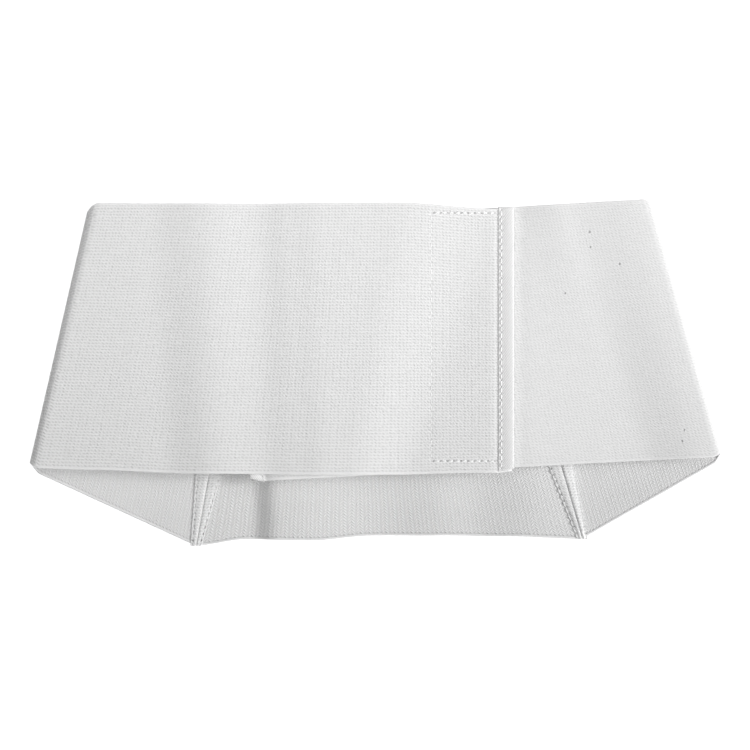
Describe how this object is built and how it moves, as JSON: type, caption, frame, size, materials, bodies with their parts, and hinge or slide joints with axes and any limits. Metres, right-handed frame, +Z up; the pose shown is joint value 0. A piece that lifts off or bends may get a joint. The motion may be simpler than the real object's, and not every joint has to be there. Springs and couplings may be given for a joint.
{
  "type": "abdominal binder",
  "caption": "Wide elastic abdominal binder, fastened in front as a tapered loop and laid flat, with wedge back seams and a hook-fastened bound end.",
  "frame": {"origin": "under the middle of the loop's bounding box, on the surface that it lies on", "axes": "+X along the band across the front, +Y towards the waist edge, +Z up from the surface, out of the front"},
  "size_m": [0.4198, 0.2096, 0.0178],
  "materials": {
    "elastic": "white ribbed woven elastic",
    "tape": "smooth white woven tape and sewing thread",
    "hook": "white nylon hook tape"
  },
  "bodies": {
    "root": {"outer_band": "elastic", "inner_band": "elastic", "centre_back_panel": "elastic", "left_seam_side_flap": "elastic", "left_seam_centre_flap": "elastic", "right_seam_centre_flap": "elastic", "right_seam_side_flap": "elastic", "outer_end_binding": "tape", "inner_end_binding": "tape", "hook_strip": "hook"}
  },
  "joints": []
}
